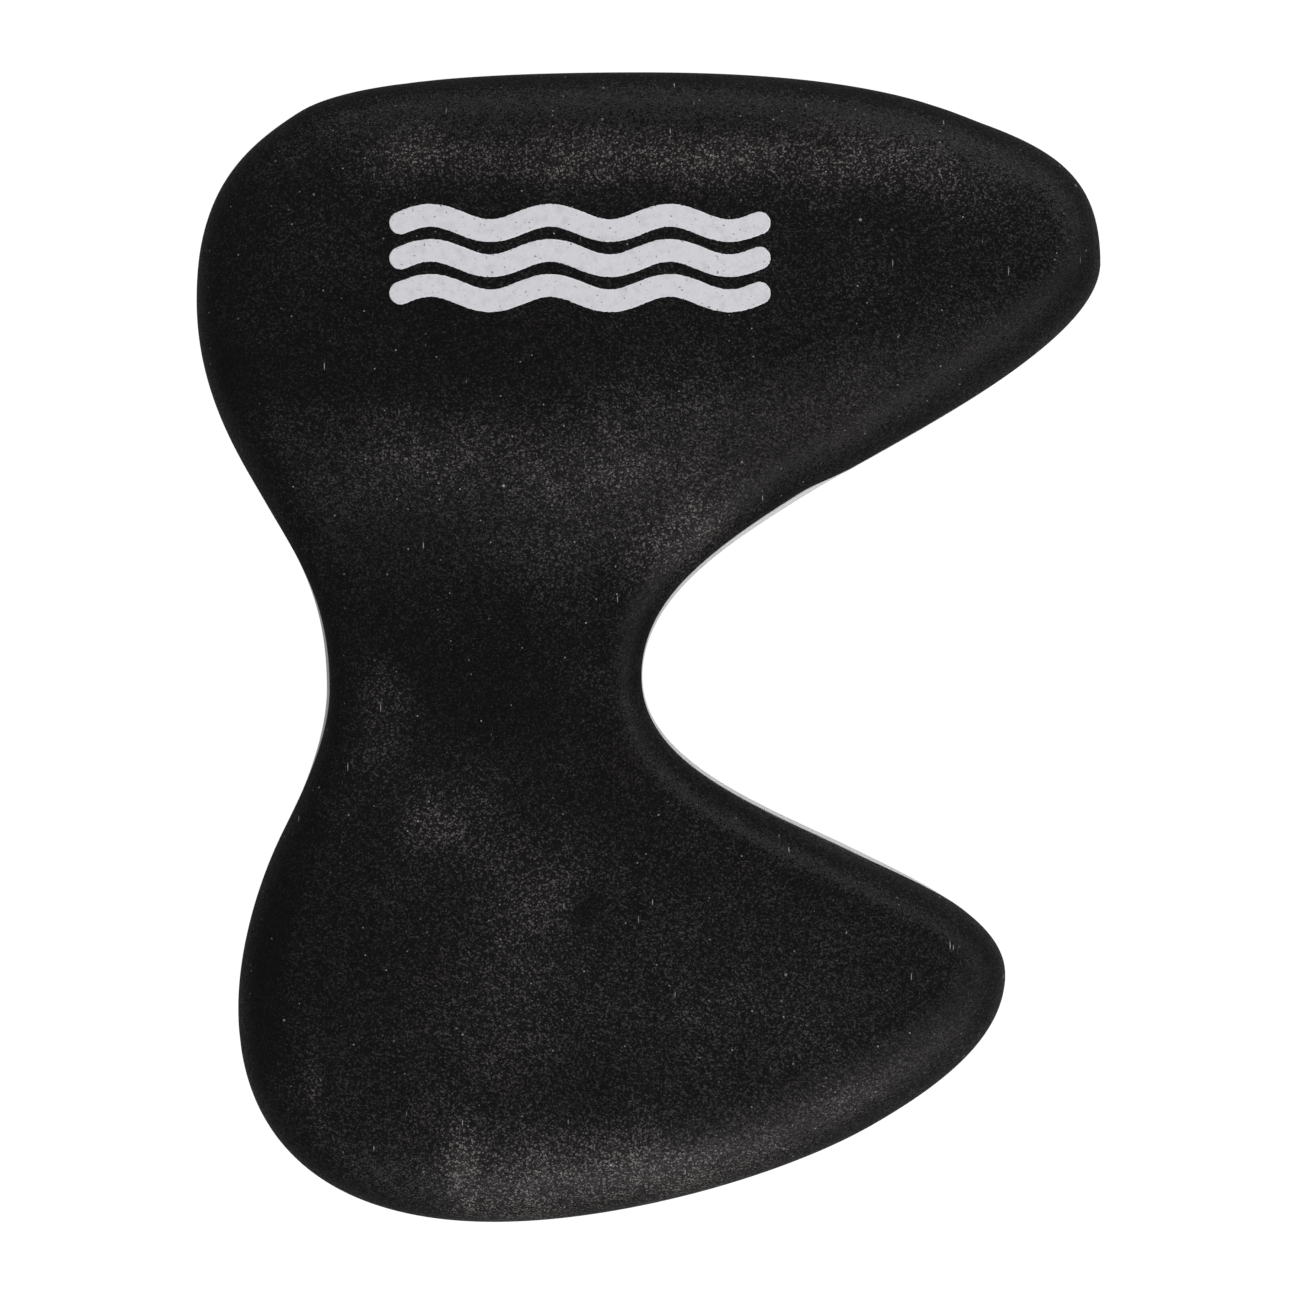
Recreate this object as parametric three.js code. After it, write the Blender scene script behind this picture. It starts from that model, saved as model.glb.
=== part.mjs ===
// Pull buoy that also serves as a kickboard: a two-lobed block of closed-cell EVA foam with a thin waist.
//
// Three sheets are bonded face to face and then ground to shape: a black upper and lower layer, and a
// light grey core between them that shows as a thin line round the edge. Each lobe has a flat crown. The
// edge rolls off it over a wide shoulder at the ends and a narrow one at the waist, where the thighs grip.
// Three wave bands are printed on the upper crown. Seen from above, both lobes reach to the right, and a
// deep notch opens between them.
//
// Millimetres, +Z up, +X towards the notch's mouth, +Y towards the larger lobe. The block lies on its
// lower face, and the origin is under the middle of its outline.

import * as THREE from "three";
import { mergeVertices } from "three/addons/utils/BufferGeometryUtils.js";

// Driving dimensions
const THICKNESS = 50; // over the flat crowns
const WAIST_THICKNESS = 28;
const CORE_THICKNESS = 9;

const MIDDLE = THICKNESS / 2; // height of the plane that the block is symmetric about
const CORE_HALF = CORE_THICKNESS / 2;

// The outline, counter-clockwise: where each node lies, the way the edge runs there in degrees, the
// lengths of the Bezier handles before and after it, and how far in from the edge the crown begins.
const OUTLINE = {
  noseUpper: { x: 114, y: 97, way: 90, before: 21, after: 25.5, shoulder: 14 },
  browUpper: { x: 78, y: 134.5, way: 159, before: 20.5, after: 18.5, shoulder: 24 },
  top: { x: -2, y: 145, way: 180, before: 39.5, after: 40.5, shoulder: 29 },
  cornerUpper: { x: -88, y: 135, way: 212, before: 14.5, after: 17.5, shoulder: 24 },
  sideUpper: { x: -114, y: 87.5, way: 270, before: 27, after: 23, shoulder: 15 },
  flankUpper: { x: -97.5, y: 38, way: 300, before: 12, after: 18.5, shoulder: 12 },
  waist: { x: -81.5, y: -10.5, way: 270, before: 22, after: 13, shoulder: 9 },
  flankLower: { x: -92.5, y: -47, way: 244, before: 9.5, after: 15, shoulder: 12 },
  sideLower: { x: -103.5, y: -91, way: 270, before: 14, after: 35.5, shoulder: 14 },
  bottom: { x: -39, y: -145, way: 0, before: 40, after: 32.5, shoulder: 26 },
  browLower: { x: 56.5, y: -120.5, way: 30, before: 25, after: 19.5, shoulder: 22 },
  noseLower: { x: 90, y: -82.5, way: 90, before: 16, after: 13.5, shoulder: 14 },
  armLower: { x: 51, y: -50.5, way: 154, before: 21, after: 23, shoulder: 11 },
  notch: { x: -1.5, y: -7.5, way: 90, before: 21.5, after: 20, shoulder: 9 },
  armUpper: { x: 39, y: 38, way: 32, before: 22.5, after: 26.5, shoulder: 11 },
};

// The valley across the waist. Each crown ends at a crest line, level on the left and rising along the arm.
const CREST_BEND = 20; // how gently a crest line turns
const CREST_BEND_X = -7; // where it turns
const CREST_UPPER = { y: 60, climb: 0.32 };
const CREST_LOWER = { y: -61, climb: -0.16 };
const SLOPE_UPPER = 48; // from the upper crest line down to the valley's floor
const SLOPE_LOWER = 70;

// The printed mark: equal wave bands, one above another
const PRINT_FILM = 0.15;
const PRINT_CENTRE = { x: -17, y: 96.5 };
const WAVE_RUN = 89; // between the centres of a band's round ends
const WAVE_COUNT = 3; // wavelengths in a band
const WAVE_HEIGHT = 1.9; // from the middle of a band to its crest
const BAND_WIDTH = 5.6;
const BAND_PITCH = 8.7;

// How finely things are divided
const SECTIONS = 50; // cross-sections from each nose to the waist
const SECTION_STEPS = 14; // across one cross-section
const EDGE_SAMPLES = 120; // on each of the outline's curves, for measuring distance from the edge
const WAVE_STEPS = 36;
const CAP_STEPS = 5;
const WELD = 1e-4; // points closer than this become one

const blackFoam = new THREE.MeshStandardMaterial({ color: 0x1f1e1e, roughness: 0.8, metalness: 0 });
const greyFoam = new THREE.MeshStandardMaterial({ color: 0xcbc9ca, roughness: 0.9, metalness: 0 });
const whiteInk = new THREE.MeshStandardMaterial({ color: 0xdad9e0, roughness: 0.7, metalness: 0 });

const smoothstep = (t) => THREE.MathUtils.smoothstep(t, 0, 1);
const softRamp = (d) => (d + Math.hypot(d, CREST_BEND)) / 2; // 0 far below zero, d far above it

// One Bezier curve of the outline, from a node to the next
function outlineCurve(from, to) {
  const heading = (node) => {
    const angle = THREE.MathUtils.degToRad(node.way);
    return new THREE.Vector2(Math.cos(angle), Math.sin(angle));
  };
  const start = new THREE.Vector2(from.x, from.y);
  const end = new THREE.Vector2(to.x, to.y);
  const leaving = start.clone().addScaledVector(heading(from), from.after);
  const arriving = end.clone().addScaledVector(heading(to), -to.before);
  return new THREE.CubicBezierCurve(start, leaving, arriving, end);
}

// The stretch of outline through the named nodes, in their order
function outlinePath(...names) {
  const path = new THREE.CurvePath();
  for (let i = 1; i < names.length; i++) {
    path.add(outlineCurve(OUTLINE[names[i - 1]], OUTLINE[names[i]]));
  }
  return path;
}

// Samples of the whole edge, each with the shoulder's width there and the length of edge it stands for
function edgeSamples() {
  const nodes = Object.values(OUTLINE);
  return nodes.flatMap((node, i) => {
    const next = nodes[(i + 1) % nodes.length];
    const curve = outlineCurve(node, next);
    return Array.from({ length: EDGE_SAMPLES }, (_, k) => {
      const share = (k + 0.5) / EDGE_SAMPLES;
      const start = curve.getPoint(k / EDGE_SAMPLES);
      const end = curve.getPoint((k + 1) / EDGE_SAMPLES);
      const shoulder = THREE.MathUtils.lerp(node.shoulder, next.shoulder, smoothstep(share));
      return { at: curve.getPoint(share), length: start.distanceTo(end), shoulder };
    });
  });
}

const EDGE = edgeSamples();

// How far across the shoulder a point is: 0 at the edge, 1 where the crown begins. It sums 1/distance^6
// along the edge and takes the fifth root, so unlike the nearest distance it has no crease midway between
// two edges. STRAIGHT_EDGE is what the sum comes to for a straight edge one shoulder away.
const STRAIGHT_EDGE = (3 * Math.PI) / 8;
function acrossShoulder(x, y) {
  let sum = 0;
  for (const { at, length, shoulder } of EDGE) {
    const distance = Math.hypot(x - at.x, y - at.y) / shoulder;
    sum += length / shoulder / distance ** 6;
  }
  return Math.min(1, (sum / STRAIGHT_EDGE) ** (-1 / 5));
}

// Half the block's thickness under a point of the crown: full on the lobes, less in the waist's valley
function crownHalf(x, y) {
  const climb = softRamp(x - CREST_BEND_X);
  const belowUpper = CREST_UPPER.y + CREST_UPPER.climb * climb - y;
  const aboveLower = y - (CREST_LOWER.y + CREST_LOWER.climb * climb);
  const valley = smoothstep(belowUpper / SLOPE_UPPER) * smoothstep(aboveLower / SLOPE_LOWER);
  return (THICKNESS - (THICKNESS - WAIST_THICKNESS) * valley) / 2;
}

// How far the outer surface stands off the core: the shoulder is a quarter of an ellipse
function layerHeight(x, y) {
  const across = acrossShoulder(x, y);
  return (crownHalf(x, y) - CORE_HALF) * Math.sqrt(1 - (1 - across) ** 2);
}

// Pairs of points that face each other on the outer and the inner edge, from the upper nose round the
// waist to the lower nose
function facingEdges() {
  const halves = [
    {
      outer: outlinePath("noseUpper", "browUpper", "top", "cornerUpper", "sideUpper", "flankUpper", "waist"),
      inner: outlinePath("notch", "armUpper", "noseUpper"),
    },
    {
      outer: outlinePath("waist", "flankLower", "sideLower", "bottom", "browLower", "noseLower"),
      inner: outlinePath("noseLower", "armLower", "notch"),
    },
  ];
  const [upper, lower] = halves.map(({ outer, inner }) =>
    Array.from({ length: SECTIONS + 1 }, (_, k) => [
      outer.getPoint(k / SECTIONS),
      inner.getPoint(1 - k / SECTIONS),
    ]),
  );
  return [...upper, ...lower.slice(1)]; // both halves hold the section across the waist
}

// The points of the block's plan: sections from the outer to the inner edge, with points closer together
// towards the edges. The first and the last section are one point each, a nose.
function planSections() {
  const facing = facingEdges();
  return facing.map(([outer, inner], i) => {
    if (i === 0 || i === facing.length - 1) return [outer];
    return Array.from({ length: SECTION_STEPS + 1 }, (_, k) => {
      const share = (1 - Math.cos((Math.PI * k) / SECTION_STEPS)) / 2;
      return outer.clone().lerp(inner, share);
    });
  });
}

const PLAN = planSections();

// The plan's edge: out along the outer edge and back along the inner one
function planLoop() {
  const between = PLAN.slice(1, -1);
  const outer = between.map((section) => section[0]);
  const inner = between.map((section) => section.at(-1)).reverse();
  return [PLAN[0][0], ...outer, PLAN.at(-1)[0], ...inner];
}

// Adds a triangle to a flat list of coordinates, turned over when it has to look down
function addTriangle(list, corners, facesUp) {
  if (new Set(corners).size < 3) return; // two of its corners are one nose
  const ordered = facesUp ? corners : [...corners].reverse();
  for (const corner of ordered) list.push(corner.x, corner.y, corner.z);
}

function geometryOf(list) {
  const loose = new THREE.BufferGeometry();
  loose.setAttribute("position", new THREE.Float32BufferAttribute(list, 3));
  const geometry = mergeVertices(loose, WELD);
  geometry.computeVertexNormals();
  return geometry;
}

// A black layer's outer surface, section by section. side is 1 above the core and -1 below it.
function domedSections(side) {
  const bond = MIDDLE + side * CORE_HALF;
  return PLAN.map((section) =>
    section.map((point, k) => {
      const onEdge = k === 0 || k === section.length - 1;
      const height = onEdge ? 0 : layerHeight(point.x, point.y);
      return new THREE.Vector3(point.x, point.y, bond + side * height);
    }),
  );
}

// A black layer: domed outside, and flat where it is bonded to the core
function layerGeometry(side) {
  const list = [];
  const sections = domedSections(side);
  const at = (section, k) => section[Math.min(k, section.length - 1)];
  for (let i = 1; i < sections.length; i++) {
    for (let k = 0; k < SECTION_STEPS; k++) {
      const [a, b] = [at(sections[i - 1], k), at(sections[i - 1], k + 1)];
      const [c, d] = [at(sections[i], k), at(sections[i], k + 1)];
      addTriangle(list, [a, c, b], side > 0);
      addTriangle(list, [b, c, d], side > 0);
    }
  }
  const bond = MIDDLE + side * CORE_HALF;
  const loop = planLoop().map((point) => new THREE.Vector3(point.x, point.y, bond));
  for (const corners of THREE.ShapeUtils.triangulateShape(loop, [])) {
    addTriangle(list, corners.map((i) => loop[i]), side < 0);
  }
  return geometryOf(list);
}

// The core: the same outline between two flat faces
function coreGeometry() {
  const shape = new THREE.Shape(planLoop());
  const geometry = new THREE.ExtrudeGeometry(shape, { depth: CORE_THICKNESS, bevelEnabled: false });
  return geometry.translate(0, 0, MIDDLE - CORE_HALF);
}

// One printed band: a sine wave of even width with round ends, laid on the upper crown
function waveGeometry(centreY) {
  const bend = (2 * Math.PI * WAVE_COUNT) / WAVE_RUN; // radians of the sine for each millimetre
  const startX = PRINT_CENTRE.x - WAVE_RUN / 2;
  const edgePoint = (share, side) => {
    const phase = bend * WAVE_RUN * share;
    const angle = Math.atan(WAVE_HEIGHT * bend * Math.cos(phase)) + side;
    const x = startX + WAVE_RUN * share + (BAND_WIDTH / 2) * Math.cos(angle);
    const y = centreY + WAVE_HEIGHT * Math.sin(phase) + (BAND_WIDTH / 2) * Math.sin(angle);
    return new THREE.Vector2(x, y);
  };
  const right = Math.PI / 2;
  const points = [];
  for (let k = 0; k < WAVE_STEPS; k++) points.push(edgePoint(k / WAVE_STEPS, -right));
  for (let k = 0; k < CAP_STEPS; k++) points.push(edgePoint(1, right * ((2 * k) / CAP_STEPS - 1)));
  for (let k = WAVE_STEPS; k > 0; k--) points.push(edgePoint(k / WAVE_STEPS, right));
  for (let k = 0; k < CAP_STEPS; k++) points.push(edgePoint(0, right * ((2 * k) / CAP_STEPS + 1)));
  const shape = new THREE.Shape(points);
  const geometry = new THREE.ExtrudeGeometry(shape, { depth: PRINT_FILM, bevelEnabled: false });
  return geometry.translate(0, 0, THICKNESS);
}

const pullBuoy = new THREE.Group();

function addMesh(name, geometry, material) {
  const mesh = new THREE.Mesh(geometry, material);
  mesh.name = name;
  pullBuoy.add(mesh);
}

addMesh("upper_foam_layer", layerGeometry(1), blackFoam);
addMesh("core_foam_layer", coreGeometry(), greyFoam);
addMesh("lower_foam_layer", layerGeometry(-1), blackFoam);
["printed_wave_top", "printed_wave_middle", "printed_wave_bottom"].forEach((name, i) => {
  addMesh(name, waveGeometry(PRINT_CENTRE.y + (1 - i) * BAND_PITCH), whiteInk);
});

export default pullBuoy;
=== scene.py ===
"""Pull buoy and kickboard of laminated EVA foam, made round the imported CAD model.

Each foam layer is made again as a fine mesh: the CAD's dome, the bond lines, the strip of grey core that
shows at the waist, and the unevenness of ground foam. The three printed bands then lie on the upper one.
Lengths are in millimetres, and are turned into metres where a mesh is made. The studio is in metres.
"""

import bpy
import numpy as np
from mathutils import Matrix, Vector, bvhtree, noise


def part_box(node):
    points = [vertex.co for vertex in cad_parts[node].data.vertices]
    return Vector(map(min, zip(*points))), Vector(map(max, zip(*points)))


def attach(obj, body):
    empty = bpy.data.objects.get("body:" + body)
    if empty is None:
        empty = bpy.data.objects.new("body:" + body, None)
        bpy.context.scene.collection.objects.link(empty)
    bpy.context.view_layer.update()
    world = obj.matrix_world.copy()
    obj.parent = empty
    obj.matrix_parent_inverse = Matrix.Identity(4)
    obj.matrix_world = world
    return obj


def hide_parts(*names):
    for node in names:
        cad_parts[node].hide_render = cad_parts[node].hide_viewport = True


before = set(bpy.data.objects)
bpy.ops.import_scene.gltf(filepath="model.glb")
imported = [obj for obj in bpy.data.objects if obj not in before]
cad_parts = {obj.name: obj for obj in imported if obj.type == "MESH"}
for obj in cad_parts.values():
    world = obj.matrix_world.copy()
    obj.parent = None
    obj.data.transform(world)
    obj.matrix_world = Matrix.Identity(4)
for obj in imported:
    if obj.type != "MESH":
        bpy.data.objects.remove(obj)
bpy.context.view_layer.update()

MM = 0.001


def node_box(name):
    """A CAD node's lowest and highest corner, in millimetres."""
    return [np.array(corner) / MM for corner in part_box(name)]


# ---------------------------------------------------------------- dimensions

CORE_BOTTOM, CORE_TOP = (corner[2] for corner in node_box("core_foam_layer"))
THICKNESS = node_box("upper_foam_layer")[1][2]
MIDDLE = THICKNESS / 2
BOND = {1: CORE_TOP, -1: CORE_BOTTOM}  # the bond line above the core and the one below it
WAIST_THICKNESS = 28

# The CAD's outline, counter-clockwise: x, y, the way the edge runs in degrees, the lengths of the Bezier
# handles before and after the node, and how far in from the edge the crown begins
OUTLINE = {
    "nose_upper": (114, 97, 90, 21, 25.5, 14),
    "brow_upper": (78, 134.5, 159, 20.5, 18.5, 24),
    "top": (-2, 145, 180, 39.5, 40.5, 29),
    "corner_upper": (-88, 135, 212, 14.5, 17.5, 24),
    "side_upper": (-114, 87.5, 270, 27, 23, 15),
    "flank_upper": (-97.5, 38, 300, 12, 18.5, 12),
    "waist": (-81.5, -10.5, 270, 22, 13, 9),
    "flank_lower": (-92.5, -47, 244, 9.5, 15, 12),
    "side_lower": (-103.5, -91, 270, 14, 35.5, 14),
    "bottom": (-39, -145, 0, 40, 32.5, 26),
    "brow_lower": (56.5, -120.5, 30, 25, 19.5, 22),
    "nose_lower": (90, -82.5, 90, 16, 13.5, 14),
    "arm_lower": (51, -50.5, 154, 21, 23, 11),
    "notch": (-1.5, -7.5, 90, 21.5, 20, 9),
    "arm_upper": (39, 38, 32, 22.5, 26.5, 11),
}

# The CAD's valley across the waist: its two crest lines, and how far it is from each down to the floor
CREST_BEND = 20
CREST_BEND_X = -7
CREST_UPPER, CLIMB_UPPER = 60, 0.32
CREST_LOWER, CLIMB_LOWER = -61, -0.16
SLOPE_UPPER, SLOPE_LOWER = 48, 70

# How far the black layers stand back from the grey core's edge: node, share of the way to the next node,
# set-back
STRIP = [
    ("flank_upper", 0, 0),
    ("waist", 0, 1.05),
    ("flank_lower", 0, 0),
    ("nose_lower", 0.45, 0),
    ("arm_lower", 0, 0.85),
    ("arm_lower", 0.6, 0.8),
    ("notch", 0, 0.25),
    ("notch", 0.45, 0.8),
    ("arm_upper", 0, 1.1),
    ("arm_upper", 0.16, 0),
]

# Where the layers meet, both edges are eased, which leaves a fine groove
LIP_DEPTH = 0.22
LIP_HEIGHT = 0.25
LIP_ROWS = (0, 0.12, 0.3, 0.6)  # heights above the bond line
CORE_GROUND = 0.06  # how far inside the outline the core's edge lies where it swells most

# Unevenness left by grinding: how deep it is, and how long its waves are
UNEVEN = ((0.24, 30), (0.09, 12))
HELD_AT_BOND = 3  # within this of the bond line the surface keeps more and more to its place
NICK_HEIGHT = 5  # of a nick's middle, above or below the block's middle plane
NICKS = [  # dents in the edge: x, y, radius, depth
    (-61, 143, 2.2, 0.7),
    (-56, 143.6, 1.6, 0.5),
    (72, 137.5, 2.4, 0.6),
    (84, 132.5, 2.6, 0.7),
    (-103, -99, 1.8, 0.4),
]

# Places on a face painted lighter, part real dust and part painted light: x, y, half length along and
# across, the way they lie in degrees, strength. A negative one is painted darker than the foam round it, a
# painted shade.
RUBBED_EVERYWHERE = 0.06
DUST_AND_LIGHT_MOST = 1.5
PATCHES_UPPER = [
    (-46, -130, 4, 10, 0, 1.2),
    (-34, -133, 14, 10, 5, 0.9),
    (-10, -132, 22, 10, 8, 0.8),
    (20, -129, 20, 8, 15, 0.5),
    (52, -112, 26, 6, 28, 0.3),
    (-83, -100, 16, 1.6, 90, 0.2),
    (-88, -77, 15, 14, 60, -0.3),
    (-51, -42, 10, 9, 40, 0.4),
    (-38, -54, 12, 7, -20, 0.2),
    (-25, -60, 12, 8, 70, 0.25),
    (-67, -19, 16, 6, 80, 0.2),
    (-36, -84, 26, 14, 75, 0.22),
    (-16, -64, 5, 4, 60, -0.2),
    (28, -36, 34, 3.5, -32, 0.4),
    (18, -92, 30, 18, -15, 0.1),
    (8, 28, 13, 9, 45, 0.6),
    (-5, 47, 26, 13, 20, 0.45),
    (-45, 48, 22, 11, 5, 0.2),
    (-60, 50, 14, 10, 30, 0.15),
    (-20, 30, 18, 9, 70, 0.15),
    (-50, 5, 26, 12, -45, -0.3),
    (44, 58, 34, 10, 31, 0.1),
    (-57, 122, 12, 6, 10, 0.6),
    (-5, 135, 44, 3.5, 0, -0.6),
    (-16, 121, 28, 6, 0, 0.7),
    (28, 121, 32, 6, -4, 0.75),
    (68, 118, 22, 7, -25, 0.35),
    (-72, 75, 40, 10, 0, -0.25),
]
PATCHES_LOWER = [
    (-55, 100, 26, 14, 20, 0.5),
    (40, 112, 24, 12, 80, 0.4),
    (-30, 20, 18, 9, 50, 0.4),
    (-60, -95, 24, 20, 10, 0.45),
    (28, -84, 22, 14, -30, 0.5),
]

# The printed mark, as in the CAD
PRINT_CENTRE = (-17, 96.5)
WAVE_RUN = 89
WAVE_COUNT = 3
WAVE_HEIGHT = 1.9
BAND_WIDTH = 5.6
BAND_PITCH = 8.7
INK_FILM = 0.05
INK_EDGE = 0.13  # how far the ink's edge wanders
INK_WAVES = (1.6, 4.2)  # how many times in a millimetre it wanders, for the wide and the fine part

# How finely things are divided
CURVE_STEPS = 200
SECTIONS = 240  # from each nose to the waist
SECTION_STEPS = 180
LONG_CHORD = 40  # sections longer than this have their points crowded at the edges
CORE_ROWS = 26
BAND_STEPS = 300
BAND_ROWS = 14


def smoothstep(t):
    t = np.clip(t, 0, 1)
    return t * t * (3 - 2 * t)


# ---------------------------------------------------------------- the outline


class Edge:
    """Samples along a stretch of the outline: place, way out, width of the shoulder, and set-back."""

    def __init__(self, at, outward, shoulder, strip):
        self.at, self.outward, self.shoulder, self.strip = at, outward, shoulder, strip

    def resampled(self, count):
        """count + 1 samples, evenly spaced along the edge."""
        steps = np.linalg.norm(np.diff(self.at, axis=0), axis=1)
        along = np.concatenate([[0], np.cumsum(steps)])
        wanted = np.linspace(0, along[-1], count + 1)

        def pick(values):
            return np.interp(wanted, along, values)

        at = np.stack([pick(self.at[:, 0]), pick(self.at[:, 1])], 1)
        outward = np.stack([pick(self.outward[:, 0]), pick(self.outward[:, 1])], 1)
        outward /= np.linalg.norm(outward, axis=1, keepdims=True)
        return Edge(at, outward, pick(self.shoulder), pick(self.strip))

    def set_back(self):
        at = self.at - self.outward * self.strip[:, None]
        return Edge(at, self.outward, self.shoulder, self.strip)

    def reversed(self):
        return Edge(self.at[::-1], self.outward[::-1], self.shoulder[::-1], self.strip[::-1])


def strip_width(position):
    """The set-back at a place, which is its node's number plus the share of the way to the next node."""
    names = list(OUTLINE)
    stations = sorted((names.index(node) + share, width) for node, share, width in STRIP)
    places, widths = zip((-1, 0), *stations, (len(names) + 1, 0))
    place = np.searchsorted(places, position, side="right") - 1
    start, end = np.take(places, place), np.take(places, place + 1)
    share = smoothstep((position - start) / (end - start))
    return np.take(widths, place) * (1 - share) + np.take(widths, place + 1) * share


def whole_outline():
    """The closed outline, as Bezier curves from node to node."""
    nodes = list(OUTLINE.values())
    share = np.arange(CURVE_STEPS)[:, None] / CURVE_STEPS
    at, outward, shoulder = [], [], []
    for node, following in zip(nodes, nodes[1:] + nodes[:1]):
        (x0, y0, way0, _, after, shoulder0) = node
        (x1, y1, way1, before, _, shoulder1) = following
        p0, p3 = np.array([x0, y0]), np.array([x1, y1])
        p1 = p0 + after * np.array([np.cos(np.radians(way0)), np.sin(np.radians(way0))])
        p2 = p3 - before * np.array([np.cos(np.radians(way1)), np.sin(np.radians(way1))])
        back = 1 - share
        at.append(back**3 * p0 + 3 * back**2 * share * p1 + 3 * back * share**2 * p2 + share**3 * p3)
        ahead = back**2 * (p1 - p0) + 2 * back * share * (p2 - p1) + share**2 * (p3 - p2)
        ahead /= np.linalg.norm(ahead, axis=1, keepdims=True)
        outward.append(np.stack([ahead[:, 1], -ahead[:, 0]], 1))
        shoulder.append(shoulder0 + (shoulder1 - shoulder0) * smoothstep(share[:, 0]))
    position = np.arange(len(nodes) * CURVE_STEPS) / CURVE_STEPS
    return Edge(np.concatenate(at), np.concatenate(outward), np.concatenate(shoulder), strip_width(position))


WHOLE = whole_outline()


def stretch(first, last):
    """The outline from one named node on to another."""
    names = list(OUTLINE)
    start = names.index(first) * CURVE_STEPS
    count = (names.index(last) - names.index(first)) % len(names) * CURVE_STEPS
    picked = np.arange(start, start + count + 1) % len(WHOLE.at)
    return Edge(WHOLE.at[picked], WHOLE.outward[picked], WHOLE.shoulder[picked], WHOLE.strip[picked])


def facing_edges():
    """The outer and the inner edge as two rows of points that face each other, from nose to nose."""
    outer = [
        stretch("nose_upper", "waist").resampled(SECTIONS),
        stretch("waist", "nose_lower").resampled(SECTIONS),
    ]
    inner = [
        stretch("notch", "nose_upper").resampled(SECTIONS).reversed(),
        stretch("nose_lower", "notch").resampled(SECTIONS).reversed(),
    ]
    fields = ("at", "outward", "shoulder", "strip")
    joined = []
    for upper, lower in (outer, inner):
        values = [np.concatenate([getattr(upper, f), getattr(lower, f)[1:]]) for f in fields]
        joined.append(Edge(*values))
    return joined


OUTER, INNER = facing_edges()

# ---------------------------------------------------------------- the dome

STRAIGHT_EDGE = 3 * np.pi / 8  # what the sum below comes to beside a long straight edge
NEAR_FROM, NEAR_TO = 1.0, 3.0
POINTS_AT_ONCE = 400


def across_shoulder(points, edge):
    """How far over the shoulder each point is: 0 at the edge, 1 where the crown begins, as in the CAD.

    Close to the edge it is the plain distance, which a sum over samples can't give."""
    steps = np.linalg.norm(np.roll(edge.at, -1, 0) - np.roll(edge.at, 1, 0), axis=1) / 2
    found = []
    for some in np.array_split(points, len(points) // POINTS_AT_ONCE + 1):
        offset = some[:, None] - edge.at[None]
        squared = np.maximum((offset**2).sum(2), 1e-12)
        total = (steps / edge.shoulder * (edge.shoulder**2 / squared) ** 3).sum(1)
        smooth = (total / STRAIGHT_EDGE) ** (-1 / 5)
        nearest = squared.argmin(1)
        picked = offset[np.arange(len(some)), nearest]
        depth = np.maximum(-(picked * edge.outward[nearest]).sum(1), 0)
        near = depth / edge.shoulder[nearest]
        weight = smoothstep((depth - NEAR_FROM) / (NEAR_TO - NEAR_FROM))
        found.append(near * (1 - weight) + smooth * weight)
    return np.minimum(np.concatenate(found), 1)


def crown_half(x, y):
    """Half the block's thickness under the crown."""
    ramp = x - CREST_BEND_X
    climb = (ramp + np.hypot(ramp, CREST_BEND)) / 2
    below_upper = CREST_UPPER + CLIMB_UPPER * climb - y
    above_lower = y - (CREST_LOWER + CLIMB_LOWER * climb)
    valley = smoothstep(below_upper / SLOPE_UPPER) * smoothstep(above_lower / SLOPE_LOWER)
    return (THICKNESS - (THICKNESS - WAIST_THICKNESS) * valley) / 2


def dome_grid():
    """The upper layer's outer surface: a row of points for each section, with z above the bond line."""
    outer, inner = OUTER.set_back().at, INNER.set_back().at
    chord = np.linalg.norm(inner - outer, axis=1)[:, None]
    even = np.linspace(0, 1, SECTION_STEPS + 1)[None]
    crowded = (1 - np.cos(np.pi * even)) / 2
    share = even + (crowded - even) * smoothstep(chord / LONG_CHORD)
    plan = outer[:, None] + (inner - outer)[:, None] * share[..., None]
    edge = WHOLE.set_back()
    across = across_shoulder(plan.reshape(-1, 2), edge).reshape(plan.shape[:2])
    rise = crown_half(plan[..., 0], plan[..., 1]) - (CORE_TOP - MIDDLE)
    height = rise * np.sqrt(1 - (1 - across) ** 2)
    height = np.maximum(height, LIP_ROWS[-1])
    return with_lips(plan, height)


def groove_depth(from_bond):
    """How far an edge is eased back at a height from the bond line."""
    return LIP_DEPTH * np.exp(-((from_bond / LIP_HEIGHT) ** 2))


def with_lips(plan, height):
    """Adds the fine rows by the bond line at both ends of every section."""

    def rows(at, outward):
        moved = at[:, None] - outward[:, None] * groove_depth(np.array(LIP_ROWS))[None, :, None]
        heights = np.broadcast_to(np.array(LIP_ROWS)[None, :, None], (*moved.shape[:2], 1))
        return np.concatenate([moved, heights], 2)

    first = rows(plan[:, 0], OUTER.outward)
    last = rows(plan[:, -1], INNER.outward)[:, ::-1]
    middle = np.concatenate([plan, height[..., None]], 2)[:, 1:-1]
    return np.concatenate([first, middle, last], 1)


# ---------------------------------------------------------------- meshes


def add_piece(name, points, faces, material):
    """A smooth-shaded object from points in millimetres."""
    mesh = bpy.data.meshes.new(name)
    mesh.from_pydata((points * MM).tolist(), [], faces)
    mesh.polygons.foreach_set("use_smooth", [True] * len(mesh.polygons))
    mesh.materials.append(material)
    mesh.update()
    piece = bpy.data.objects.new(name, mesh)
    bpy.context.scene.collection.objects.link(piece)
    return piece


def grid_faces(rows, columns, flipped=False):
    """Quads over a grid of points numbered row by row."""
    first = (np.arange(rows - 1)[:, None] * columns + np.arange(columns - 1)[None]).ravel()
    quads = np.stack([first, first + 1, first + columns + 1, first + columns], 1)
    return quads[:, ::-1] if flipped else quads


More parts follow.
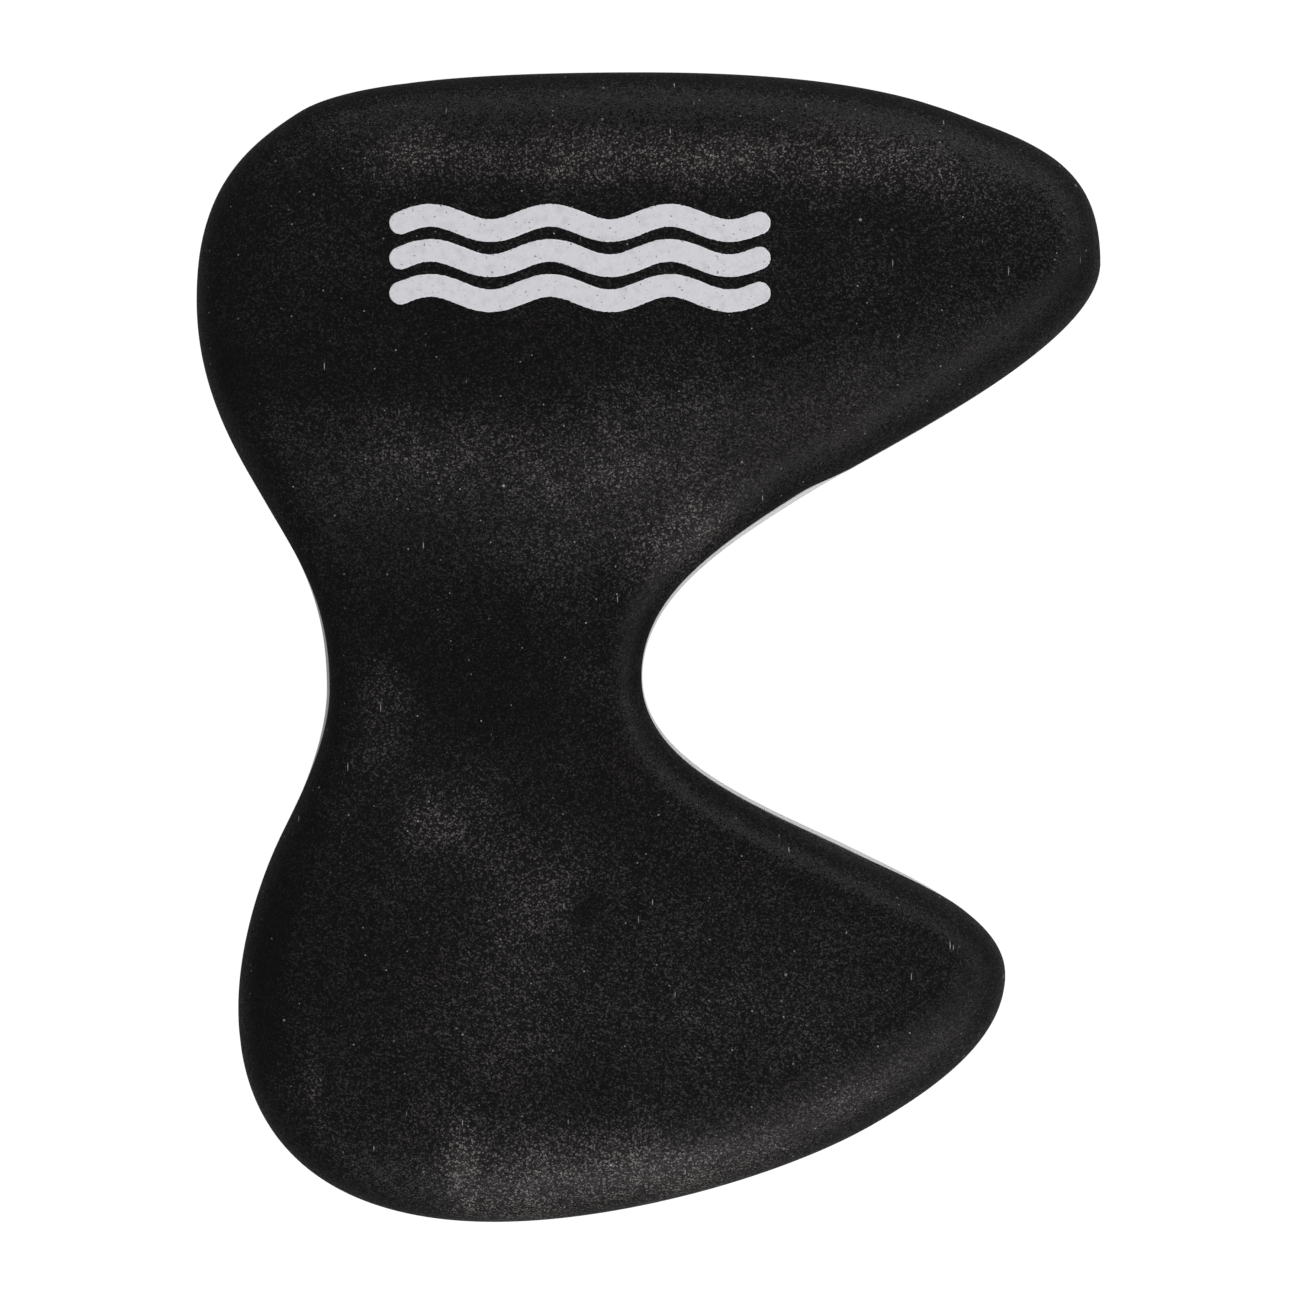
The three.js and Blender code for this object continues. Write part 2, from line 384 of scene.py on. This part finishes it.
def positions(mesh):
    """Where a mesh's points are, in millimetres."""
    points = np.empty(len(mesh.vertices) * 3)
    mesh.vertices.foreach_get("co", points)
    return points.reshape(-1, 3) / MM


def merge_noses(faces, grid_shape):
    """Joins the two halves of the first and of the last row, which lie on top of each other at a nose."""
    rows, columns = grid_shape
    number = np.arange(rows * columns).reshape(rows, columns)
    lips = len(LIP_ROWS)
    for row in (0, rows - 1):
        number[row, lips:columns - lips] = number[row, lips - 1]
        number[row, columns - lips:] = number[row, lips - 1::-1]
    mapped = number.ravel()[faces]
    tidy = []
    for face in mapped.tolist():
        corners = [c for i, c in enumerate(face) if c != face[i - 1]]
        if len(set(corners)) == len(corners) >= 3:
            tidy.append(corners)
    return tidy


def drop_unused(points, faces):
    """The points that some face uses, and the faces with the new numbers."""
    used = np.unique(np.concatenate([np.array(face) for face in faces]))
    renumber = np.full(len(points), -1)
    renumber[used] = np.arange(len(used))
    return points[used], [[int(renumber[c]) for c in face] for face in faces]


def uneven(point, seed):
    """Depth of the ground surface's unevenness at a point, in millimetres: 0 or less."""
    total = 0
    for i, (depth, wave) in enumerate(UNEVEN):
        shifted = Vector(point) / wave + Vector((seed * 17.3, i * 5.1, seed * 3.7))
        total += depth * (noise.noise(shifted) - 1) / 2
    return total


def settle(piece, side, seed):
    """Moves the surface in by its unevenness and the nicks, and leaves the bond line where it is."""
    mesh = piece.data
    points = positions(mesh)
    normals = np.array([v.vector for v in mesh.vertex_normals])
    depth = np.array([uneven(point, seed) for point in points])
    for x, y, radius, deep in NICKS:
        near = ((points - (x, y, MIDDLE + side * NICK_HEIGHT)) ** 2).sum(1) / radius**2
        depth -= deep * np.exp(-near)
    free = smoothstep(np.abs(points[:, 2] - BOND[side]) / HELD_AT_BOND)
    points += normals * (depth * free)[:, None]
    mesh.vertices.foreach_set("co", (points * MM).ravel())
    mesh.update()


def mark_patches(piece, patches):
    """Stores how much dust and painted light each point has, which the foam's material reads."""
    points = positions(piece.data)
    dust_and_painted_light = np.full(len(points), RUBBED_EVERYWHERE)
    for x, y, long, wide, way, strength in patches:
        ahead = np.array([np.cos(np.radians(way)), np.sin(np.radians(way))])
        offset = points[:, :2] - (x, y)
        along = offset @ ahead
        aside = offset @ np.array([-ahead[1], ahead[0]])
        dust_and_painted_light += strength * np.exp(-((along / long) ** 2) - (aside / wide) ** 2)
    stored = piece.data.attributes.new("dust_and_painted_light", "FLOAT", "POINT")
    stored.data.foreach_set("value", np.clip(dust_and_painted_light, 0, DUST_AND_LIGHT_MOST))


def black_layer(name, side, seed, patches, material):
    """side is 1 for the layer above the core and -1 for the one below it."""
    grid = DOME.copy()
    grid[..., 2] = BOND[side] + side * grid[..., 2]
    rows, columns = grid.shape[:2]
    faces = grid_faces(rows, columns, flipped=side > 0)
    edge = np.arange(rows - 1) * columns
    closing = np.stack([edge, edge + columns, edge + 2 * columns - 1, edge + columns - 1], 1)
    closing = closing[:, ::-1] if side > 0 else closing
    faces = merge_noses(np.concatenate([faces, closing]), (rows, columns))
    points, faces = drop_unused(grid.reshape(-1, 3), faces)
    piece = add_piece(name, points, faces, material)
    settle(piece, side, seed)
    mark_patches(piece, patches)
    return piece


def core_layer(name, material):
    """The grey core. Its wall swells between the bond lines, by as much as the black layers stand back."""
    at = np.concatenate([OUTER.at, INNER.at[-2:0:-1]])
    outward = np.concatenate([OUTER.outward, INNER.outward[-2:0:-1]])
    strip = np.concatenate([OUTER.strip, INNER.strip[-2:0:-1]])
    up = -np.cos(np.linspace(0, np.pi, CORE_ROWS))
    half = (CORE_TOP - CORE_BOTTOM) / 2
    groove = groove_depth((1 - np.abs(up)) * half)
    inset = strip[None] * (np.abs(up) ** 2)[:, None] + groove[:, None] + CORE_GROUND
    ring = at[None] - outward[None] * inset[..., None]
    heights = np.broadcast_to((MIDDLE + half * up)[:, None, None], (*ring.shape[:2], 1))
    points = np.concatenate([ring, heights], 2)
    rows, columns = points.shape[:2]
    number = np.arange(rows * columns).reshape(rows, columns)
    wrapped = np.concatenate([number, number[:, :1]], 1)
    corners = [wrapped[:-1, :-1], wrapped[:-1, 1:], wrapped[1:, 1:], wrapped[1:, :-1]]
    wall = np.stack(corners, 2).reshape(-1, 4)
    faces = wall.tolist() + core_cap(number[-1], False) + core_cap(number[0], True)
    return add_piece(name, points.reshape(-1, 3), faces, material)


def core_cap(ring, downward):
    """Strips between facing points of the edge, which close the core where it is bonded."""
    ring = ring.tolist()
    sections = 2 * SECTIONS
    outer = ring[:sections + 1]
    inner = [ring[0]] + ring[:sections:-1] + [ring[sections]]
    faces = []
    for i in range(sections):
        corners = [outer[i], outer[i + 1], inner[i + 1], inner[i]]
        corners = list(dict.fromkeys(corners))
        faces.append(corners[::-1] if downward else corners)
    return faces


def printed_wave(name, centre_y, seed, foam, material):
    """One band of screen ink: a sine wave with round ends and a slightly ragged edge, lying on the foam."""
    tree = bvhtree.BVHTree.FromObject(foam, bpy.context.evaluated_depsgraph_get())
    bend = 2 * np.pi * WAVE_COUNT / WAVE_RUN
    cap = BAND_WIDTH / 2
    tip = 0.995 * cap  # a hair short of the round end, so that the last row has a width
    along = np.linspace(-tip, WAVE_RUN + tip, BAND_STEPS + 1)
    half = np.sqrt(np.maximum(cap**2 - np.maximum(np.maximum(-along, along - WAVE_RUN), 0) ** 2, 0))
    top = []
    for s, reach in zip(along, half):
        held = min(max(s, 0), WAVE_RUN)
        phase = bend * held
        slope = np.arctan(WAVE_HEIGHT * bend * np.cos(phase))
        ahead = np.array([np.cos(slope), np.sin(slope)])
        aside = np.array([-ahead[1], ahead[0]])
        middle = np.array([held - WAVE_RUN / 2 + PRINT_CENTRE[0], centre_y + WAVE_HEIGHT * np.sin(phase)])
        middle = middle + ahead * (s - held)
        row = []
        for share in np.linspace(-1, 1, BAND_ROWS + 1):
            place = middle + aside * reach * share
            wander = noise.noise(Vector((*place * INK_WAVES[0], seed * 9.1)))
            wander += 0.6 * noise.noise(Vector((*place * INK_WAVES[1], seed)))
            place = place + aside * np.sign(share) * INK_EDGE * wander * abs(share) ** 3
            hit = tree.ray_cast(Vector((*place * MM, 1)), Vector((0, 0, -1)))[0]
            row.append((*place, hit.z / MM))
        top.append(row)
    top = np.array(top)
    rows, columns = top.shape[:2]
    bottom = top - (0, 0, INK_FILM)
    top = top + (0, 0, INK_FILM)
    points = np.concatenate([top.reshape(-1, 3), bottom.reshape(-1, 3)])
    upper = grid_faces(rows, columns, flipped=True)
    lower = grid_faces(rows, columns) + rows * columns
    number = np.arange(rows * columns).reshape(rows, columns)
    rim = np.concatenate([number[0, :-1], number[:-1, -1], number[-1, :0:-1], number[:0:-1, 0]])
    following = np.roll(rim, -1)
    side = np.stack([rim, following, following + rows * columns, rim + rows * columns], 1)
    faces = np.concatenate([upper, lower, side]).tolist()
    return add_piece(name, points, faces, material)


# ---------------------------------------------------------------- materials


class Material:
    """A material and its node tree. Calls add nodes, linked to what they are given."""

    def __init__(self, name):
        self.material = bpy.data.materials.new(name)
        self.material.use_nodes = True
        self.tree = self.material.node_tree
        self.surface = self.tree.nodes["Principled BSDF"]
        metres = {"Vector": self.node("TexCoord").outputs["Object"], "Scale": 1 / MM}
        self.place = self.node("VectorMath", metres, operation="SCALE").outputs[0]

    def node(self, kind, inputs=None, **settings):
        """A node of a kind. settings are its properties, and inputs are values or sockets."""
        made = self.tree.nodes.new("ShaderNode" + kind)
        for name, value in settings.items():
            setattr(made, name, value)
        self.put(made, inputs or {})
        return made

    def put(self, node, inputs):
        for name, value in inputs.items():
            if isinstance(value, bpy.types.NodeSocket):
                self.tree.links.new(value, node.inputs[name])
            else:
                node.inputs[name].default_value = value

    def stretched(self, scale, angle=0):
        """The place on the surface, turned about the upright axis and scaled."""
        turned = {"Vector": self.place, "Scale": scale, "Rotation": (0, 0, angle)}
        return self.node("Mapping", turned).outputs[0]

    def noise(self, size, detail=2, place=None):
        """Soft noise from 0 to 1 whose spots are about size millimetres."""
        inputs = {"Vector": place or self.place, "Scale": 1 / size, "Detail": detail}
        return self.node("TexNoise", inputs).outputs["Fac"]

    def cells(self, size, place=None):
        """Irregular cells, each about size millimetres across."""
        return self.node("TexVoronoi", {"Vector": place or self.place, "Scale": 1 / size})

    def between(self, value, low, high, start=0.0, end=1.0):
        """start where value is below low, end where it is above high, and smooth between."""
        inputs = {"Value": value, "From Min": low, "From Max": high, "To Min": start, "To Max": end}
        return self.node("MapRange", inputs, interpolation_type="SMOOTHSTEP").outputs[0]

    def maths(self, operation, first, second):
        made = self.node("Math", operation=operation)
        self.put(made, {0: first, 1: second})
        return made.outputs[0]

    def blend(self, first, second, share):
        made = self.node("Mix", data_type="RGBA")
        self.put(made, {0: share, 6: first, 7: second})
        return made.outputs[2]

    def bump(self, height, depth, normal=None):
        """depth is in millimetres for a height of 1."""
        inputs = {"Height": height, "Distance": depth * MM, "Strength": 1.0}
        if normal:
            inputs["Normal"] = normal
        return self.node("Bump", inputs).outputs[0]

    def chance(self, cells, channel="Red"):
        """A number from 0 to 1 that is the same all over a cell, and evenly spread among the cells."""
        return self.node("SeparateColor", {"Color": cells.outputs["Color"]}).outputs[channel]

    def facets(self, cells, lean):
        """The surface's own direction, leaning a different way in each cell."""
        any_way = {0: cells.outputs["Color"], 1: (0.5, 0.5, 0.5)}
        centred = self.node("VectorMath", any_way, operation="SUBTRACT")
        straight = self.node("NewGeometry").outputs["Normal"]
        leaning = {0: centred.outputs[0], 1: (lean, lean, lean), 2: straight}
        made = self.node("VectorMath", leaning, operation="MULTIPLY_ADD")
        return self.node("VectorMath", {0: made.outputs[0]}, operation="NORMALIZE").outputs[0]

    def specks(self, spacing, radius, share):
        """Small round specks in a share of the cells, some faint and some up to 1, in millimetres."""
        cells = self.cells(spacing)
        near = self.between(cells.outputs["Distance"], radius / spacing, 0.4 * radius / spacing)
        chosen = self.between(self.chance(cells), 1 - share, 1.0)
        return self.maths("MULTIPLY", near, chosen)

    def scratches(self, length, width, share, angle):
        """1 on short straight hairlines, all lying one way. A cell is eight lengths by eight widths."""
        lying = self.stretched((1 / width, 1 / length, 1 / length), angle)
        apart = 8
        cells = self.cells(apart, lying)
        near = self.between(cells.outputs["Distance"], 0.5 / apart, 0.2 / apart)
        chosen = self.between(self.chance(cells), 1 - share, 1.001 - share)
        return self.maths("MULTIPLY", near, chosen)


BLACK = (0.0100, 0.0094, 0.0098, 1)
BLACK_WARM = (0.0160, 0.0128, 0.0109, 1)
BLACK_COOL = (0.0096, 0.0118, 0.0106, 1)
# Near black for the grain cells between the painted glints
BETWEEN_PAINTED_GLINTS = (0.0005, 0.0005, 0.0005, 1)
# The colour that dust and painted light lighten the black foam towards
DUST_AND_PAINTED_LIGHT = (0.178, 0.163, 0.157, 1)
GREY = (0.88, 0.87, 0.875, 1)
GREY_DARK = (0.40, 0.39, 0.39, 1)
INK = (0.86, 0.85, 0.9, 1)
INK_THIN = (0.76, 0.75, 0.79, 1)
FOAM_THROUGH_INK = (0.045, 0.043, 0.045, 1)
LINT = (0.38, 0.37, 0.36, 1)
DIRT = (0.05, 0.048, 0.046, 1)
BLACK_SHEEN = (1, 0.94, 0.99, 1)
WHITE = (1, 1, 1, 1)

# The foam's grain: the cells' size, how deep they are domed, and how far each leans its own way
GRAIN_SIZE = 0.36
GRAIN_DEPTH = 0.05
GRAIN_LEAN = 0.5
INK_LEAN = 0.2

# Hairlines on the black foam: length, width, share of the cells that hold one, the way they lie in radians
HAIRLINES = [
    (2.5, 0.3, 0.2, 0.5),
    (3, 0.3, 0.2, 2.1),
    (2, 0.3, 0.15, 1.3),
    (4, 0.3, 0.1, 0.05),
]


def black_foam_material():
    m = Material("black_foam")
    dust_and_painted_light = m.node("Attribute", attribute_name="dust_and_painted_light").outputs["Fac"]
    cloudy = m.noise(14, detail=4)
    grain = m.cells(GRAIN_SIZE)
    pebble = m.chance(grain)
    painted_glint = m.maths("POWER", pebble, 5)
    tint = m.blend(BLACK, BLACK_WARM, m.between(m.noise(23), 0.5, 0.7))
    tint = m.blend(tint, BLACK_COOL, m.between(m.noise(31, place=m.stretched((1, 1, 1), 1.1)), 0.5, 0.7))
    # Most grain cells go near black and a few keep the foam's tint: painted glints, a painted sparkle of
    # light off the grain
    tint = m.blend(BETWEEN_PAINTED_GLINTS, tint, painted_glint)
    # Dust and painted light from the patches, part real dust and part painted light and shade, clouded by
    # noise
    dust_with_painted_light = m.maths("MULTIPLY", dust_and_painted_light, m.between(cloudy, 0.3, 0.65, 0.45, 1))
    dust_with_painted_light = m.maths("ADD", dust_with_painted_light, m.between(cloudy, 0.52, 0.8, 0, 0.06))
    # Dust is lighter on the cells with painted glints: painted glints in the dust
    dust_with_painted_light = m.maths("MULTIPLY", dust_with_painted_light, m.between(painted_glint, 0, 1, 0.2, 3.5))
    colour = m.blend(tint, DUST_AND_PAINTED_LIGHT, m.maths("MULTIPLY", dust_with_painted_light, 0.5))
    marks = m.maths("ADD", m.specks(2.6, 0.27, 0.55), m.specks(9, 0.5, 0.5))
    for hairline in HAIRLINES:
        marks = m.maths("MAXIMUM", marks, m.scratches(*hairline))
    colour = m.blend(colour, LINT, marks)
    rough = m.between(m.chance(grain, "Green"), 0, 1, 0.2, 0.45)
    skin = m.bump(m.noise(3.2, detail=2), 0.1, m.facets(grain, GRAIN_LEAN))
    skin = m.bump(m.maths("MULTIPLY", grain.outputs["Distance"], -1), GRAIN_DEPTH, skin)
    m.put(m.surface, {"Base Color": colour, "Roughness": rough, "Normal": skin})
    m.put(m.surface, {"Specular IOR Level": 0.165, "Specular Tint": BLACK_SHEEN})
    return m.material


def grey_foam_material():
    m = Material("grey_foam")
    height = m.node("SeparateXYZ", {"Vector": m.place}).outputs["Z"]
    from_middle = m.maths("ABSOLUTE", m.maths("SUBTRACT", height, MIDDLE), 0)
    # Darker within 1.2 mm of each bond line, and in random blotches
    by_bond = m.between(from_middle, (CORE_TOP - MIDDLE) - 1.2, CORE_TOP - MIDDLE)
    darker_by_bond_and_blotches = m.maths("MAXIMUM", by_bond, m.between(m.noise(9, detail=4), 0.5, 0.85))
    colour = m.blend(GREY, GREY_DARK, m.maths("MULTIPLY", darker_by_bond_and_blotches, 0.6))
    pores = m.between(m.cells(0.7).outputs["Distance"], 0.12, 0.3)
    # The pores are painted darker where the bump dips them: painted shade in the pores
    colour = m.blend(GREY_DARK, colour, m.between(pores, 0, 1, 0.5, 1))
    colour = m.blend(colour, DIRT, m.specks(6, 0.3, 0.25))
    skin = m.bump(m.noise(0.6, detail=2), 0.06, m.bump(pores, 0.05))
    rough = m.between(m.noise(5), 0.3, 0.7, 0.75, 0.9)
    m.put(m.surface, {"Base Color": colour, "Roughness": rough, "Normal": skin})
    return m.material


def ink_material():
    m = Material("white_print")
    grain = m.cells(GRAIN_SIZE)
    pinholes = m.specks(1.9, 0.28, 0.13)
    thin = m.between(m.noise(0.7, detail=3), 0.66, 0.74)
    bare = m.maths("MAXIMUM", pinholes, thin)
    colour = m.blend(INK, INK_THIN, m.between(m.noise(2.5, detail=3), 0.45, 0.75))
    colour = m.blend(colour, FOAM_THROUGH_INK, bare)
    skin = m.bump(m.maths("MULTIPLY", grain.outputs["Distance"], -1), GRAIN_DEPTH, m.facets(grain, INK_LEAN))
    rough = m.between(m.noise(4), 0.3, 0.7, 0.5, 0.62)
    m.put(m.surface, {"Base Color": colour, "Roughness": rough, "Normal": skin})
    return m.material


# ---------------------------------------------------------------- the studio

CAMERA_HEIGHT = 1.225
VIEW_WIDTH = 0.329  # what the picture takes in, across the block's middle plane
FRAMING = (0.00025, -0.0006)  # the point that the camera stands over
SENSOR_WIDTH = 36  # millimetres
SEES_TO = 50
FLOOR = (0.2, 0.2, 0.2, 1)
FLOOR_GLOW = 0.96
FLOOR_REACH = 8
FLOOR_DROP = 0.0003  # below the part, so that the two don't flicker
ROOM_LIGHT = 0.39
PANELS = [  # name, centre, size, power
    ("light_over", (0.7, -0.78, 1.54), (1.8, 0.9), 7),
    ("light_low_front", (0.5, -1.8, 0.5), (2.4, 0.8), 15),
    ("light_low_back", (0.6, 1.8, 0.5), (3.0, 0.8), 19),
    ("light_low_right", (1.85, 0, 0.5), (2.0, 0.8), 7),
]


def add_camera():
    """A camera straight above the block, as in the photograph."""
    camera = bpy.data.cameras.new("camera")
    camera.sensor_width = SENSOR_WIDTH
    camera.lens = camera.sensor_width * (CAMERA_HEIGHT - MIDDLE * MM) / VIEW_WIDTH
    camera.clip_end = SEES_TO
    holder = bpy.data.objects.new("camera", camera)
    holder.location = (*FRAMING, CAMERA_HEIGHT)
    bpy.context.scene.collection.objects.link(holder)
    bpy.context.scene.camera = holder


def add_panel(name, centre, size, power):
    """A soft light: a flat panel that faces the origin and that the camera doesn't see."""
    light = bpy.data.lights.new(name, "AREA")
    light.shape = "RECTANGLE"
    light.size, light.size_y = size
    light.energy = power
    holder = bpy.data.objects.new(name, light)
    holder.location = centre
    holder.rotation_euler = (-Vector(centre)).to_track_quat("-Z", "Y").to_euler()
    holder.visible_camera = False
    bpy.context.scene.collection.objects.link(holder)


def add_floor():
    """A pale floor. It glows towards the camera, so that it goes white with hardly a shadow."""
    mesh = bpy.data.meshes.new("floor")
    reach = FLOOR_REACH
    corners = [(-reach, -reach), (reach, -reach), (reach, reach), (-reach, reach)]
    mesh.from_pydata([(x, y, -FLOOR_DROP) for x, y in corners], [], [(0, 1, 2, 3)])
    m = Material("floor")
    seen = m.node("LightPath").outputs["Is Camera Ray"]
    glow = m.maths("MULTIPLY", seen, FLOOR_GLOW)
    m.put(m.surface, {"Base Color": FLOOR, "Roughness": 0.9, "Specular IOR Level": 0})
    m.put(m.surface, {"Emission Color": WHITE, "Emission Strength": glow})
    mesh.materials.append(m.material)
    floor = bpy.data.objects.new("floor", mesh)
    bpy.context.scene.collection.objects.link(floor)


def add_room():
    """The room: evenly lit from all round, and a white backdrop to the camera."""
    world = bpy.data.worlds.new("room")
    world.use_nodes = True
    tree = world.node_tree
    seen = tree.nodes.new("ShaderNodeLightPath").outputs["Is Camera Ray"]
    strength = tree.nodes.new("ShaderNodeMapRange")
    tree.links.new(seen, strength.inputs["Value"])
    strength.inputs["To Min"].default_value = ROOM_LIGHT
    strength.inputs["To Max"].default_value = 1
    tree.links.new(strength.outputs[0], tree.nodes["Background"].inputs["Strength"])
    tree.nodes["Background"].inputs["Color"].default_value = WHITE
    bpy.context.scene.world = world


# ---------------------------------------------------------------- putting it together

add_camera()
add_floor()
add_room()
for panel in PANELS:
    add_panel(*panel)
bpy.context.scene.view_settings.view_transform = "Standard"

black_foam, grey_foam, ink = black_foam_material(), grey_foam_material(), ink_material()

DOME = dome_grid()
upper = black_layer("upper_foam", 1, 1, PATCHES_UPPER, black_foam)
lower = black_layer("lower_foam", -1, 2, PATCHES_LOWER, black_foam)
core = core_layer("core_foam", grey_foam)
for piece, node, slot in (
    (upper, "upper_foam_layer", "black_foam"),
    (lower, "lower_foam_layer", "black_foam"),
    (core, "core_foam_layer", "grey_foam"),
):
    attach(piece, "root")
    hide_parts(node)

for i, place in enumerate(("top", "middle", "bottom")):
    wave = printed_wave(f"wave_{place}", PRINT_CENTRE[1] + (1 - i) * BAND_PITCH, i + 1, upper, ink)
    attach(wave, "root")
    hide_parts(f"printed_wave_{place}")
